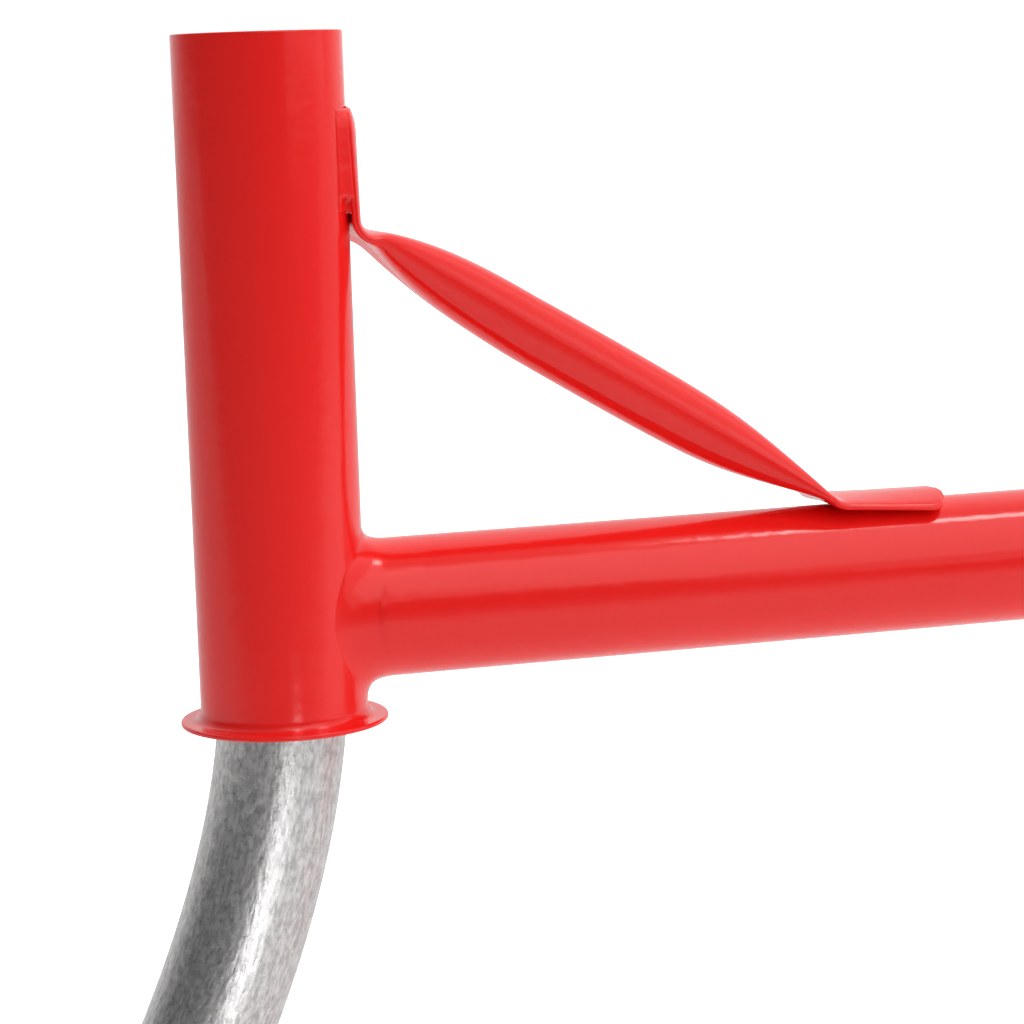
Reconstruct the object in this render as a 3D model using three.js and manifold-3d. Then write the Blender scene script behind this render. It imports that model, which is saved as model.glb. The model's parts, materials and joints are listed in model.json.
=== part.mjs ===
// A kart chassis: a vertical head tube with a flared lip, a bent backbone, a crushed-end brace,
// a rear cross tube with axle hangers, a bent steering stem with its front axle beam, and a live
// rear axle. Millimetres, +Z up, +X towards the rear. The origin is on the floor, half way along.
import * as THREE from 'three';
import { mergeVertices } from 'three/addons/utils/BufferGeometryUtils.js';
import { ParametricGeometry } from 'three/addons/geometries/ParametricGeometry.js';
import Module from 'manifold-3d';

const wasm = await Module();
wasm.setup();

// ---- Driving dimensions -------------------------------------------------------------------
const GAP = 0.3;                  // between pieces that touch or are welded on the real chassis
const SIDES = 24;                 // facets round a tube

const HEAD_X = -353;              // head tube axis
const LIP_Z = 200;                // underside of the head tube's flared lip, above the floor
const HEAD_LENGTH = 207;
const HEAD_R = 25.4;
const HEAD_WALL = 2;
const LIP_R = 31.5;
const LIP_THICK = 1.5;

const MAIN_R = 21.2;              // backbone, rear cross tube and front beam share this stock
const MAIN_WALL = 2.5;
const MAIN_Z = 32.45;             // backbone axis at the head tube, above the lip
const DROP_START = 290;           // behind the head tube axis, where the backbone bends down
const DROP_ANGLE = THREE.MathUtils.degToRad(35);
const DROP_BEND_R = 130;
const REAR_Z = -130;              // backbone and cross tube axis at the rear, from the lip

const BRACE_R = 10.4;
const BRACE_WALL = 1.5;
const BRACE_PAD_WIDTH = 32;
const BRACE_PAD_THICK = 3.2;
const BRACE_TOP_Z = 184;
const BRACE_TOE_X = 214.5;
const BRACE_SLOPE = 0.608;        // fall per unit of length behind the head tube
const BRACE_AXIS_Z = 163.94;      // where the brace's axis line would meet the head tube's

const STEM_R = 19.9;
const STEM_WALL = 2;
const STEM_TOP_Z = 190;
const STEM_BEND_Z = 19.1;         // where the stem starts to bend, inside the head tube
const STEM_BEND_LIMIT = 0.67;     // radians that the bend tends to
const STEM_BEND_LENGTH = 119.2;   // length over which the bend fades out

const AXLE_Z = -175;              // all four wheel axes, from the lip
const FRONT_X = -72;              // front axle, from the head tube axis
const BEAM_HALF = 200;
const FLANGE_R = 25;
const FLANGE_THICK = 6;
const SPINDLE_R = 8.5;
const SPINDLE_END = 265;

const CROSS_X = 718;
const CROSS_HALF = 150;
const REAR_X = 778;               // rear axle, from the head tube axis
const HANGER_THICK = 6;
const HANGER_TOP_R = 27;
const HANGER_AXLE_R = 25;
const AXLE_R = 12.5;
const AXLE_BORE_R = 8.5;
const AXLE_HALF = 280;

const BEAD_R = 2.6;               // weld beads

// ---- Materials ----------------------------------------------------------------------------
const paint = (color, roughness, metalness) => () =>
  new THREE.MeshStandardMaterial({ color, roughness, metalness });
const redPaint = paint(0xe0302c, 0.25, 0);
const bareSteel = paint(0xa6a4a0, 0.35, 1);
const zincSteel = paint(0xb9bcc2, 0.3, 1);
const blackSteel = paint(0x26272a, 0.45, 0.8);
const polymer = paint(0x1c1d1f, 0.6, 0);

// ---- Solids -------------------------------------------------------------------------------
function toSolid(geometry) {
  const bare = geometry.clone();
  bare.deleteAttribute('normal');
  bare.deleteAttribute('uv');
  const merged = mergeVertices(bare, 1e-3);
  const vertProperties = new Float32Array(merged.attributes.position.array);
  const triVerts = new Uint32Array(merged.index.array);
  return new wasm.Manifold(new wasm.Mesh({ numProp: 3, vertProperties, triVerts }));
}

function toGeometry(solid) {
  const { vertProperties, triVerts } = solid.getMesh();
  const geometry = new THREE.BufferGeometry();
  geometry.setAttribute('position', new THREE.BufferAttribute(vertProperties, 3));
  geometry.setIndex(new THREE.BufferAttribute(triVerts, 1));
  return geometry;
}

function cut(geometry, ...tools) {
  const rest = tools.reduce((solid, tool) => solid.subtract(toSolid(tool)), toSolid(geometry));
  return toGeometry(rest);
}

// A profile of [radius, height] pairs turned about the named axis, height along that axis.
function turned(profile, axis, sides = SIDES) {
  const points = profile.map(([radius, height]) => new THREE.Vector2(radius, height));
  const geometry = new THREE.LatheGeometry(points, sides);
  if (axis === 'z') geometry.rotateX(Math.PI / 2);
  if (axis === 'x') geometry.rotateZ(-Math.PI / 2);
  return geometry;
}

function ring(outer, inner, from, to, axis, sides = SIDES) {
  const profile = [[inner, from], [outer, from], [outer, to], [inner, to], [inner, from]];
  return turned(profile, axis, sides);
}

function rod(radius, from, to, axis, sides = SIDES) {
  return turned([[0, from], [radius, from], [radius, to], [0, to]], axis, sides);
}

// A flat outline in X and Y, thick along +Z.
function plate(outline, thickness) {
  return new THREE.ExtrudeGeometry(outline, {
    depth: thickness, bevelEnabled: false, curveSegments: 12,
  });
}

// A flat outline in X and Z, thick along +Y from the given place.
function sidePlate(outline, thickness, from) {
  return plate(outline, thickness).rotateX(Math.PI / 2).translate(0, from + thickness, 0);
}

function polygon(points) {
  return new THREE.Shape(points.map(([x, y]) => new THREE.Vector2(x, y)));
}

// The rounded outline round two circles.
function link(xA, yA, radiusA, xB, yB, radiusB) {
  const along = Math.atan2(yB - yA, xB - xA);
  const tangent = Math.acos((radiusA - radiusB) / Math.hypot(xB - xA, yB - yA));
  const outline = new THREE.Shape();
  outline.absarc(xA, yA, radiusA, along + tangent, along - tangent + 2 * Math.PI, false);
  outline.absarc(xB, yB, radiusB, along - tangent, along + tangent, false);
  outline.closePath();
  return outline;
}

// A bent line in the XZ plane through stations of place and heading.
class BentLine extends THREE.Curve {
  constructor(stations) {
    super();
    this.stations = stations;
  }

  getPoint(t, target = new THREE.Vector3()) {
    const { x, z } = this.stations[Math.round(t * (this.stations.length - 1))];
    return target.set(x, 0, z);
  }

  getPointAt(u, target) {
    return this.getPoint(u, target);
  }

  getTangentAt(u, target = new THREE.Vector3()) {
    const { heading } = this.stations[Math.round(u * (this.stations.length - 1))];
    return target.set(Math.cos(heading), 0, Math.sin(heading));
  }
}

function sweptTube(stations, outer, inner) {
  const section = new THREE.Shape().absarc(0, 0, outer, 0, 2 * Math.PI, false);
  section.holes.push(new THREE.Path().absarc(0, 0, inner, 0, 2 * Math.PI, true));
  return new THREE.ExtrudeGeometry(section, {
    steps: stations.length - 1,
    extrudePath: new BentLine(stations),
    curveSegments: SIDES / 2,
  });
}

// A round weld bead in the corner where a branch tube along X meets a host tube along Z.
function saddleBead(hostR, branchR) {
  const away = BEAD_R + GAP;
  const centre = (turn) => {
    const y = (branchR + away) * Math.sin(turn);
    const z = (branchR + away) * Math.cos(turn);
    return new THREE.Vector3(Math.sqrt((hostR + away) ** 2 - y ** 2), y, z);
  };
  const surface = (u, v, target) => {
    const turn = 2 * Math.PI * u;
    const round = 2 * Math.PI * v;
    const outward = new THREE.Vector3(0, Math.sin(turn), Math.cos(turn));
    target.copy(centre(turn)).addScaledVector(outward, BEAD_R * Math.cos(round));
    target.x -= BEAD_R * Math.sin(round);
  };
  return new ParametricGeometry(surface, SIDES, 6);
}

// A snap ring lying in XY, open towards +X.
function snapRing(outer, inner, thickness, opening) {
  const outline = new THREE.Shape();
  outline.absarc(0, 0, outer, opening / 2, 2 * Math.PI - opening / 2, false);
  outline.absarc(0, 0, inner, 2 * Math.PI - opening / 2, opening / 2, true);
  outline.closePath();
  return plate(outline, thickness);
}

// ---- Assembly -----------------------------------------------------------------------------
const chassis = new THREE.Group();
chassis.position.set(HEAD_X, 0, LIP_Z);

function add(name, geometry, material, x = 0, y = 0, z = 0) {
  const mesh = new THREE.Mesh(geometry, material());
  mesh.name = name;
  mesh.position.set(x, y, z);
  chassis.add(mesh);
  return mesh;
}

const SIDE_NAMES = [['left', -1], ['right', 1]];   // the driver's left is -Y

// ---- Head tube with its lip, bushes and welds ----------------------------------------------
function headTube() {
  const bore = HEAD_R - HEAD_WALL;
  const profile = [
    [bore, 8], [bore + 0.8, 4.2], [bore + 2.6, 1.4], [LIP_R - 3.8, 0], [LIP_R - 0.5, 0],
    [LIP_R, LIP_THICK / 2], [LIP_R - 0.5, LIP_THICK], [LIP_R - 2.1, LIP_THICK + 0.3],
    [HEAD_R + 0.9, 3.6], [HEAD_R, 6.6], [HEAD_R, HEAD_LENGTH - 0.6], [HEAD_R - 0.6, HEAD_LENGTH],
    [bore + 0.5, HEAD_LENGTH], [bore, HEAD_LENGTH - 0.5], [bore, 8],
  ];
  return turned(profile, 'z', 32);
}
add('head_tube', headTube(), redPaint);

const RETAINER_R = HEAD_R - HEAD_WALL - 0.8;   // collar, washer and circlip on the stem
const LOWER_BUSH_Z = 30;
const UPPER_BUSH_Z = 150;
const BUSH_LENGTH = 25;
const bush = ring(HEAD_R - HEAD_WALL - GAP, STEM_R + GAP, 0, BUSH_LENGTH, 'z', 28);
add('lower_head_bush', bush, polymer, 0, 0, LOWER_BUSH_Z);
add('upper_head_bush', bush.clone(), polymer, 0, 0, UPPER_BUSH_Z);
add('head_weld', saddleBead(HEAD_R, MAIN_R), redPaint, 0, 0, MAIN_Z);

// ---- Backbone -------------------------------------------------------------------------------
function arcStations(x, z, headingFrom, headingTo, radius, steps) {
  const turn = Math.sign(headingTo - headingFrom);
  const centreX = x - turn * radius * Math.sin(headingFrom);
  const centreZ = z + turn * radius * Math.cos(headingFrom);
  return Array.from({ length: steps + 1 }, (_, i) => {
    const heading = THREE.MathUtils.lerp(headingFrom, headingTo, i / steps);
    return {
      x: centreX + turn * radius * Math.sin(heading),
      z: centreZ - turn * radius * Math.cos(heading),
      heading,
    };
  });
}

function backboneStations() {
  const arcDrop = DROP_BEND_R * (1 - Math.cos(DROP_ANGLE));
  const slope = (MAIN_Z - REAR_Z - 2 * arcDrop) / Math.sin(DROP_ANGLE);
  const down = arcStations(DROP_START, MAIN_Z, 0, -DROP_ANGLE, DROP_BEND_R, 5);
  const { x, z } = down.at(-1);
  const levelX = x + slope * Math.cos(DROP_ANGLE);
  const levelZ = z - slope * Math.sin(DROP_ANGLE);
  return [
    { x: 0, z: MAIN_Z, heading: 0 },
    ...down,
    ...arcStations(levelX, levelZ, -DROP_ANGLE, 0, DROP_BEND_R, 5),
    { x: CROSS_X, z: REAR_Z, heading: 0 },
  ];
}

const headCope = rod(HEAD_R + GAP, -HEAD_LENGTH, HEAD_LENGTH, 'z', 28);
const crossCope = rod(MAIN_R + GAP, -CROSS_HALF, CROSS_HALF, 'y').translate(CROSS_X, 0, REAR_Z);
add('main_tube', cut(sweptTube(backboneStations(), MAIN_R, MAIN_R - MAIN_WALL), headCope, crossCope),
  redPaint);

// ---- Brace: one round tube, crushed flat and bent at both ends -------------------------------
const PAD_X = HEAD_R + GAP + BRACE_PAD_THICK / 2;
const FOOT_Z = MAIN_Z + MAIN_R + GAP + BRACE_PAD_THICK / 2;
const PAD_BEND_Z = BRACE_AXIS_Z - BRACE_SLOPE * PAD_X;
const FOOT_BEND_X = PAD_X + (PAD_BEND_Z - FOOT_Z) / BRACE_SLOPE;

// Stations down the brace's centre line, each with a heading and how round it is, from 0 to 1.
function braceStations() {
  const lean = -Math.atan(BRACE_SLOPE);
  const slant = Math.hypot(FOOT_BEND_X - PAD_X, PAD_BEND_Z - FOOT_Z);
  const along = (distance, round) => ({
    x: PAD_X + distance * Math.cos(lean), z: PAD_BEND_Z + distance * Math.sin(lean),
    heading: lean, round,
  });
  const miter = (heading) => (heading + lean) / 2;
  return [
    { x: PAD_X, z: BRACE_TOP_Z, heading: -Math.PI / 2, round: 0 },
    { x: PAD_X, z: PAD_BEND_Z, heading: miter(-Math.PI / 2), round: 0 },
    along(7, 0.12), along(17, 0.55), along(29, 0.82), along(47, 0.97), along(75, 1),
    along(slant - 62, 1), along(slant - 45, 0.9), along(slant - 33, 0.6), along(slant - 23, 0.15),
    along(slant - 14, 0),
    { x: FOOT_BEND_X, z: FOOT_Z, heading: miter(0), round: 0 },
    { x: BRACE_TOE_X, z: FOOT_Z, heading: 0, round: 0 },
  ];
}

// A point on a rounded section: half width across, half thickness up, and squareness by power.
function sectionPoint(halfWidth, halfThick, power, turn) {
  const curve = (value) => Math.sign(value) * Math.abs(value) ** power;
  return [halfWidth * curve(Math.cos(turn)), halfThick * curve(Math.sin(turn))];
}

function brace() {
  const stations = braceStations();
  const last = stations.length - 1;
  const rows = 2 * last + 1;
  const slit = 0.4;
  const surface = (u, v, target) => {
    const row = Math.round(u * (rows + 1)) % (rows + 1);
    const inside = row > last;
    const { x, z, heading, round } = stations[inside ? rows - row : row];
    const wall = inside ? BRACE_WALL : 0;
    const flatThick = inside ? slit / 2 : BRACE_PAD_THICK / 2;
    const halfWidth = THREE.MathUtils.lerp(BRACE_PAD_WIDTH / 2, BRACE_R, round) - wall;
    const halfThick = THREE.MathUtils.lerp(flatThick, BRACE_R - wall, round);
    const power = THREE.MathUtils.lerp(0.6, 1, round);
    const [across, up] = sectionPoint(halfWidth, halfThick, power, -2 * Math.PI * v);
    target.set(x - up * Math.sin(heading), across, z + up * Math.cos(heading));
  };
  return new ParametricGeometry(surface, rows + 1, 24);
}
add('brace', brace(), redPaint);

// A fillet in the wedge between the upper pad's edges and the head tube, along one side.
const PAD_WELD_LENGTH = 26;
function padWeld(side) {
  const reach = BRACE_PAD_WIDTH / 2 - 2;
  const gapAt = (y) => Math.sqrt((HEAD_R + GAP) ** 2 - y ** 2);
  const back = PAD_X - BRACE_PAD_THICK / 2 - GAP;
  const outline = polygon([
    [back, side * 9], [back, side * reach], [gapAt(reach + 4), side * (reach + 4)],
    [gapAt(reach), side * reach], [gapAt(11.5), side * 11.5],
  ]);
  return plate(outline, PAD_WELD_LENGTH);
}
for (const [name, side] of SIDE_NAMES)
  add('brace_pad_weld_' + name, padWeld(side), redPaint, 0, 0,
    BRACE_TOP_Z - PAD_WELD_LENGTH - 2);

const TOE_BEAD_R = 1.8;
const toeBead = turned([[0, -7], [1.4, -6], [TOE_BEAD_R, 0], [1.4, 6], [0, 7]], 'y', 12);
add('brace_toe_weld', toeBead, redPaint, BRACE_TOE_X + TOE_BEAD_R + GAP, 0,
  MAIN_Z + MAIN_R + TOE_BEAD_R + GAP);

// ---- Rear cross tube, gussets, axle hangers and seat bracket ---------------------------------
add('rear_cross_tube', ring(MAIN_R, MAIN_R - MAIN_WALL, -CROSS_HALF, CROSS_HALF, 'y'), redPaint,
  CROSS_X, 0, REAR_Z);
const rearWeld = add('rear_weld', saddleBead(MAIN_R, MAIN_R), redPaint, CROSS_X, 0, REAR_Z);
rearWeld.rotation.set(-Math.PI / 2, Math.PI, 0, 'ZYX');

const GUSSET_THICK = 4;
const GUSSET_REACH = 78;          // from the middle of the chassis
const WELD_CLEAR = 9;             // the inner corner, cut back to clear the weld between the tubes
for (const [name, side] of SIDE_NAMES) {
  const inner = MAIN_R + 0.4;
  const front = CROSS_X - MAIN_R - 0.4;
  const tip = front - 54;
  const outline = polygon([
    [tip, side * inner], [front - WELD_CLEAR, side * inner], [front, side * (inner + WELD_CLEAR)],
    [front, side * GUSSET_REACH], [front - 5, side * GUSSET_REACH], [tip, side * (inner + 5)],
  ]);
  add('rear_gusset_' + name, plate(outline, GUSSET_THICK), redPaint, 0, 0,
    REAR_Z - GUSSET_THICK / 2);
}

const HANGER_HOLE_R = 7;
const BUSH_BODY_R = 16.5;
const BUSH_FLANGE_R = 21;
const HANGER_FROM = CROSS_HALF + GAP;
for (const [name, side] of SIDE_NAMES) {
  const outline = link(CROSS_X, REAR_Z, HANGER_TOP_R, REAR_X, AXLE_Z, HANGER_AXLE_R);
  outline.holes.push(new THREE.Path().absarc(REAR_X, AXLE_Z, BUSH_BODY_R + GAP, 0, 2 * Math.PI));
  outline.holes.push(new THREE.Path().absarc(CROSS_X, REAR_Z, HANGER_HOLE_R, 0, 2 * Math.PI));
  const from = side > 0 ? HANGER_FROM : -HANGER_FROM - HANGER_THICK;
  add('axle_hanger_' + name, sidePlate(outline, HANGER_THICK, from), redPaint);

  const bore = AXLE_R + GAP;
  const flangeFrom = HANGER_FROM + HANGER_THICK + GAP;
  const profile = [
    [bore, HANGER_FROM - 1], [BUSH_BODY_R, HANGER_FROM - 1], [BUSH_BODY_R, flangeFrom],
    [BUSH_FLANGE_R, flangeFrom], [BUSH_FLANGE_R, flangeFrom + 3], [bore, flangeFrom + 3],
    [bore, HANGER_FROM - 1],
  ];
  const axleBush = add('axle_bush_' + name, turned(profile, 'y'), polymer, REAR_X, 0, AXLE_Z);
  if (side < 0) axleBush.rotation.z = Math.PI;
}

const SEAT_X = 646;
const SEAT_LENGTH = 80;
const SEAT_TOP_Z = -99;
const SEAT_HOLE_R = 4.2;
const SEAT_HOLE_X = 28;           // the four holes, each way from the bracket's middle
const SEAT_HOLE_Y = 46;
function seatBracket() {
  const sheet = 4;
  const half = 60;
  const leg = MAIN_R + 0.5;
  const under = SEAT_TOP_Z - sheet;
  const foot = REAR_Z + 4;
  const outline = polygon([
    [-half, SEAT_TOP_Z], [-half, under], [-leg - sheet, under], [-leg - sheet, foot],
    [-leg, foot], [-leg, under], [leg, under], [leg, foot], [leg + sheet, foot],
    [leg + sheet, under], [half, under], [half, SEAT_TOP_Z],
  ]);
  const folded = plate(outline, SEAT_LENGTH)
    .rotateX(Math.PI / 2).rotateZ(Math.PI / 2).translate(-SEAT_LENGTH / 2, 0, 0);
  const holes = [-SEAT_HOLE_X, SEAT_HOLE_X].flatMap((x) => [-SEAT_HOLE_Y, SEAT_HOLE_Y].map((y) =>
    rod(SEAT_HOLE_R, under - 1, SEAT_TOP_Z + 1, 'z', 16).translate(x, y, 0)));
  return cut(folded, ...holes);
}
add('seat_bracket', seatBracket(), redPaint, SEAT_X, 0, 0);

// ---- Steering stem and what holds it in the head tube ----------------------------------------
function stemStations() {
  const stations = [
    { x: 0, z: STEM_TOP_Z, heading: -Math.PI / 2 },
    { x: 0, z: STEM_BEND_Z, heading: -Math.PI / 2 },
  ];
  const fine = 0.1;
  const every = 240;
  let x = 0;
  let z = STEM_BEND_Z;
  for (let step = 1; z > AXLE_Z; step += 1) {
    const lean = STEM_BEND_LIMIT * (1 - Math.exp(-step * fine / STEM_BEND_LENGTH));
    x -= fine * Math.sin(lean);
    z -= fine * Math.cos(lean);
    if (step % every === 0 || z <= AXLE_Z)
      stations.push({ x, z, heading: -Math.PI / 2 - lean });
  }
  return stations;
}
const stemLine = stemStations();
const STEM_LEAN = -Math.PI / 2 - stemLine.at(-1).heading;

const COLLAR_HEIGHT = 6;
const WASHER_THICK = 1.5;
const WASHER_Z = UPPER_BUSH_Z + BUSH_LENGTH + 0.5;
const CLIP_THICK = 1.4;
const CLIP_Z = WASHER_Z + WASHER_THICK + 0.6;
const clipGroove = ring(STEM_R + 2, STEM_R - 0.8, CLIP_Z - GAP, CLIP_Z + CLIP_THICK + GAP, 'z');
const beamCope = rod(MAIN_R + GAP, -40, 40, 'y').translate(FRONT_X, 0, AXLE_Z);
add('steering_stem', cut(sweptTube(stemLine, STEM_R, STEM_R - STEM_WALL), clipGroove, beamCope),
  bareSteel);
add('stem_collar', ring(RETAINER_R, STEM_R + GAP, 0, COLLAR_HEIGHT, 'z', 28), bareSteel, 0, 0,
  LOWER_BUSH_Z - COLLAR_HEIGHT - 0.5);
add('stem_washer', ring(RETAINER_R, STEM_R + GAP, 0, WASHER_THICK, 'z', 28), zincSteel, 0, 0,
  WASHER_Z);
add('stem_circlip', snapRing(RETAINER_R, STEM_R - 0.5, CLIP_THICK, 0.6), blackSteel, 0, 0, CLIP_Z);

// ---- Front axle beam --------------------------------------------------------------------------
const beamLine = ring(MAIN_R, MAIN_R - MAIN_WALL, -BEAM_HALF, BEAM_HALF, 'y');
add('front_beam', beamLine, bareSteel, FRONT_X, 0, AXLE_Z);
const stemWeld = add('stem_weld', saddleBead(MAIN_R, STEM_R), bareSteel, FRONT_X, 0, AXLE_Z);
stemWeld.rotation.set(-Math.PI / 2, STEM_LEAN - Math.PI / 2, 0, 'ZYX');

for (const [name, side] of SIDE_NAMES) {
  const seat = MAIN_R + 0.4;
  const upright = STEM_R + 0.8;
  const outline = polygon([
    [side * (upright + WELD_CLEAR), seat], [side * 88, seat], [side * 88, seat + 6],
    [side * (upright + 7), GUSSET_REACH], [side * upright, GUSSET_REACH],
    [side * upright, seat + WELD_CLEAR],
  ]);
  const gusset = add('front_gusset_' + name, plate(outline, GUSSET_THICK), bareSteel,
    FRONT_X, 0, AXLE_Z);
  const up = new THREE.Vector3(Math.sin(STEM_LEAN), 0, Math.cos(STEM_LEAN));
  const across = new THREE.Vector3(0, 1, 0);
  const basis = new THREE.Matrix4().makeBasis(across, up, across.clone().cross(up));
  gusset.quaternion.setFromRotationMatrix(basis);
  gusset.translateZ(-GUSSET_THICK / 2);
}

// Everything on a wheel spindle is modelled along +Y and turned round for the other side.
function addOnSpindle(name, side, geometry, material) {
  const mesh = add(name, geometry, material, FRONT_X, 0, AXLE_Z);
  if (side < 0) mesh.rotation.z = Math.PI;
}

const THREAD_FROM = BEAM_HALF + 37;
const THREAD_DEPTH = 0.9;
const NUT_FROM = BEAM_HALF + 47;
const SPINDLE_ROOT = BEAM_HALF - 35;       // how far the spindle reaches back into the beam
const SHOULDER_STEP = 3;
const SHOULDER_WIDTH = 4;
function spindle() {
  const shoulder = BEAM_HALF + FLANGE_THICK + 2 * GAP;
  return turned([
    [0, SPINDLE_ROOT], [SPINDLE_R, SPINDLE_ROOT], [SPINDLE_R, shoulder],
    [SPINDLE_R + SHOULDER_STEP, shoulder], [SPINDLE_R + SHOULDER_STEP, shoulder + SHOULDER_WIDTH],
    [SPINDLE_R, shoulder + SHOULDER_WIDTH], [SPINDLE_R, THREAD_FROM],
    [SPINDLE_R - THREAD_DEPTH, THREAD_FROM + 1], [SPINDLE_R - THREAD_DEPTH, SPINDLE_END - 1.5],
    [SPINDLE_R - 2.2, SPINDLE_END], [0, SPINDLE_END],
  ], 'y', 24);
}

function hexNut(acrossFlats, bore, thickness) {
  const outline = new THREE.Shape();
  const corner = acrossFlats / Math.sqrt(3);
  for (let i = 0; i < 6; i += 1) {
    const turn = (i + 0.5) * Math.PI / 3;
    const point = [corner * Math.cos(turn), corner * Math.sin(turn)];
    if (i === 0) outline.moveTo(...point);
    else outline.lineTo(...point);
  }
  outline.closePath();
  outline.holes.push(new THREE.Path().absarc(0, 0, bore, 0, 2 * Math.PI));
  return plate(outline, thickness).rotateX(-Math.PI / 2);
}

for (const [name, side] of SIDE_NAMES) {
  const flangeFrom = BEAM_HALF + GAP;
  addOnSpindle('beam_flange_' + name, side,
    ring(FLANGE_R, SPINDLE_R + GAP, flangeFrom, flangeFrom + FLANGE_THICK, 'y'), bareSteel);
  addOnSpindle('spindle_' + name, side, spindle(), zincSteel);
  addOnSpindle('spindle_washer_' + name, side,
    ring(15, SPINDLE_R - 0.6, NUT_FROM - 2.8, NUT_FROM - 0.3, 'y', 24), zincSteel);
  addOnSpindle('spindle_nut_' + name, side,
    hexNut(24, SPINDLE_R - 0.6, 10).translate(0, NUT_FROM, 0), zincSteel);
}

// ---- Rear axle ---------------------------------------------------------------------------------
const KEY_MIDDLE = 225;
const KEY_LENGTH = 44;
const KEY_WIDTH = 8;
const KEY_FLOOR = 9.4;
const AXLE_CLIP_AT = 266;

// A key or its slot: a round-ended bar along Y, standing on the named height.
function roundedBar(width, length, from, to) {
  const reach = (length - width) / 2;
  return plate(link(0, -reach, width / 2, 0, reach, width / 2), to - from).translate(0, 0, from);
}

function rearAxle() {
  const tools = [-1, 1].flatMap((side) => [
    roundedBar(KEY_WIDTH, KEY_LENGTH, KEY_FLOOR, AXLE_R + 2).translate(0, side * KEY_MIDDLE, 0),
    ring(AXLE_R + 2, AXLE_R - 0.9, side * AXLE_CLIP_AT - 1, side * AXLE_CLIP_AT + 1, 'y'),
  ]);
  const end = AXLE_HALF;
  const profile = [
    [AXLE_BORE_R, -end], [AXLE_R - 1, -end], [AXLE_R, 1 - end], [AXLE_R, end - 1],
    [AXLE_R - 1, end], [AXLE_BORE_R, end], [AXLE_BORE_R, -end],
  ];
  return cut(turned(profile, 'y'), ...tools);
}
add('rear_axle', rearAxle(), bareSteel, REAR_X, 0, AXLE_Z);

const COLLAR_R = 20;
const SCREW_R = 3;
const COLLAR_WIDTH = 14;
const COLLAR_AT = CROSS_HALF - 2 - COLLAR_WIDTH / 2;
for (const [name, side] of SIDE_NAMES) {
  const drilled = cut(
    ring(COLLAR_R, AXLE_R + GAP, -COLLAR_WIDTH / 2, COLLAR_WIDTH / 2, 'y'),
    rod(SCREW_R + GAP, AXLE_R - 2, COLLAR_R + 4, 'z', 12),
  );
  add('axle_collar_' + name, drilled, zincSteel, REAR_X, side * COLLAR_AT, AXLE_Z);
  add('collar_screw_' + name, rod(SCREW_R, AXLE_R + GAP, COLLAR_R - 0.6, 'z', 12), blackSteel,
    REAR_X, side * COLLAR_AT, AXLE_Z);
  add('axle_key_' + name,
    roundedBar(KEY_WIDTH - 2 * GAP, KEY_LENGTH - 2 * GAP, KEY_FLOOR + GAP, AXLE_R + 3), zincSteel,
    REAR_X, side * KEY_MIDDLE, AXLE_Z);
  const clip = snapRing(15.5, AXLE_R - 0.6, 1.2, 0.9).rotateX(Math.PI / 2).translate(0, 0.6, 0);
  add('axle_circlip_' + name, clip, blackSteel, REAR_X, side * AXLE_CLIP_AT, AXLE_Z);
}

export default chassis;
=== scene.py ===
"""A kart chassis, dressed for a studio picture: red powder coat on the welded frame, bare drawn
steel on the steering stem and axles, zinc plate and black oxide on the small hardware.

Lengths in this script are millimetres from the head tube's axis and the underside of its lip,
+X to the rear and +Z up. to_row() turns them into the row frame's metres."""
import json
import math

import bmesh
import bpy
from mathutils import Matrix, Vector, noise


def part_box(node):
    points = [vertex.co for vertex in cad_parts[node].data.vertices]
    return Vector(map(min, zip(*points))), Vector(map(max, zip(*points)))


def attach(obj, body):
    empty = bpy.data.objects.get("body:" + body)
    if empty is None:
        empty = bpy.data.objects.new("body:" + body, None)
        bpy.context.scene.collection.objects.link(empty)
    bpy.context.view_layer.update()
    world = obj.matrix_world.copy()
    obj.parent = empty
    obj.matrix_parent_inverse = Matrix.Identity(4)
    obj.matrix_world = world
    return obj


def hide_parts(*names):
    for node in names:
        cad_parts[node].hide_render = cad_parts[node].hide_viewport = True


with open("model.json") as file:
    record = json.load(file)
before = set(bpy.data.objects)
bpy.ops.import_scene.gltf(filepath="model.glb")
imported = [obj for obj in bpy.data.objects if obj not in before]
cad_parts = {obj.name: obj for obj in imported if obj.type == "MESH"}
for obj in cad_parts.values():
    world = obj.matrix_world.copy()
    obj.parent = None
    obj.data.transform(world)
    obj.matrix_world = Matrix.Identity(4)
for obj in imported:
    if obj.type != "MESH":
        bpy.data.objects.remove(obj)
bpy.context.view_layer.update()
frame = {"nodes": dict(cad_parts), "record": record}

MM = 0.001
JOINTS = {joint["name"]: joint for joint in frame["record"]["behaviour"]["joints"]}
HEAD = Vector(JOINTS["steer"]["pos_m"])
REAR_AXLE = (Vector(JOINTS["rear_axle_spin"]["pos_m"]) - HEAD) / MM
X, Y, Z = Vector((1, 0, 0)), Vector((0, 1, 0)), Vector((0, 0, 1))
SIDES = (("left", -1), ("right", 1))


def to_row(point):
    return HEAD + MM * Vector(point)


def cad(node):
    """(lowest corner, highest corner) of a CAD node, in this script's millimetres."""
    low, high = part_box(node)
    return (low - HEAD) / MM, (high - HEAD) / MM


# ---- Camera

CAMERA_PLACE = (-192.2, -901.3, 193.9)
CAMERA_TURN = math.radians(16.455)
CAMERA_TILT = math.radians(-8.185)
CAMERA_ROLL = math.radians(-1.832)
CAMERA_LENS = 108.27


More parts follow.
